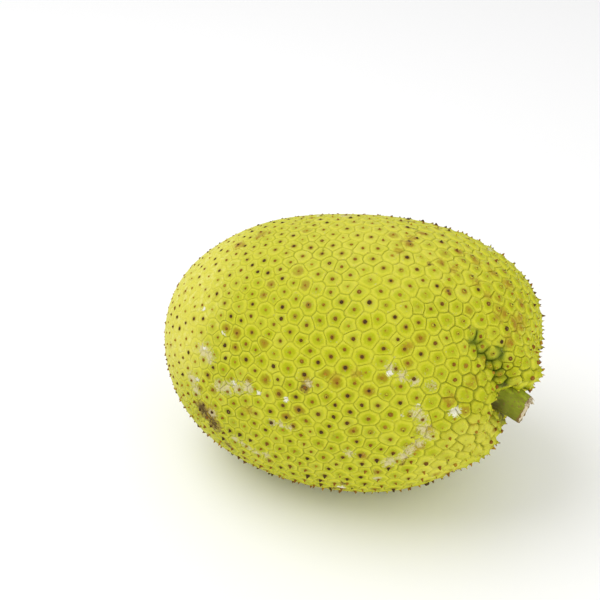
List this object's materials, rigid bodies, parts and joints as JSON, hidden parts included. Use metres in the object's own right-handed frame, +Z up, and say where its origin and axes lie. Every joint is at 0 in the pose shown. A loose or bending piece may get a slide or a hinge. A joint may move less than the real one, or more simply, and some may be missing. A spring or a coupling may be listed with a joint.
{
  "type": "breadfruit",
  "caption": "Whole oval breadfruit lying on its side, its rind a pavement of polygonal discs with hard points, its cut stem in a funnel at one end.",
  "frame": {"origin": "middle of the small flat spot that the fruit rests on", "axes": "+X along the fruit's length, towards the stem; +Z up, away from the surface that it rests on"},
  "size_m": [0.193, 0.1403, 0.1356],
  "materials": {
    "rind": "satin, yellow-green, with dark points and brown scars",
    "stem": "matt olive green bark with a pale cut face"
  },
  "bodies": {
    "root": {"fruit": "rind", "stem": "stem"}
  },
  "joints": []
}
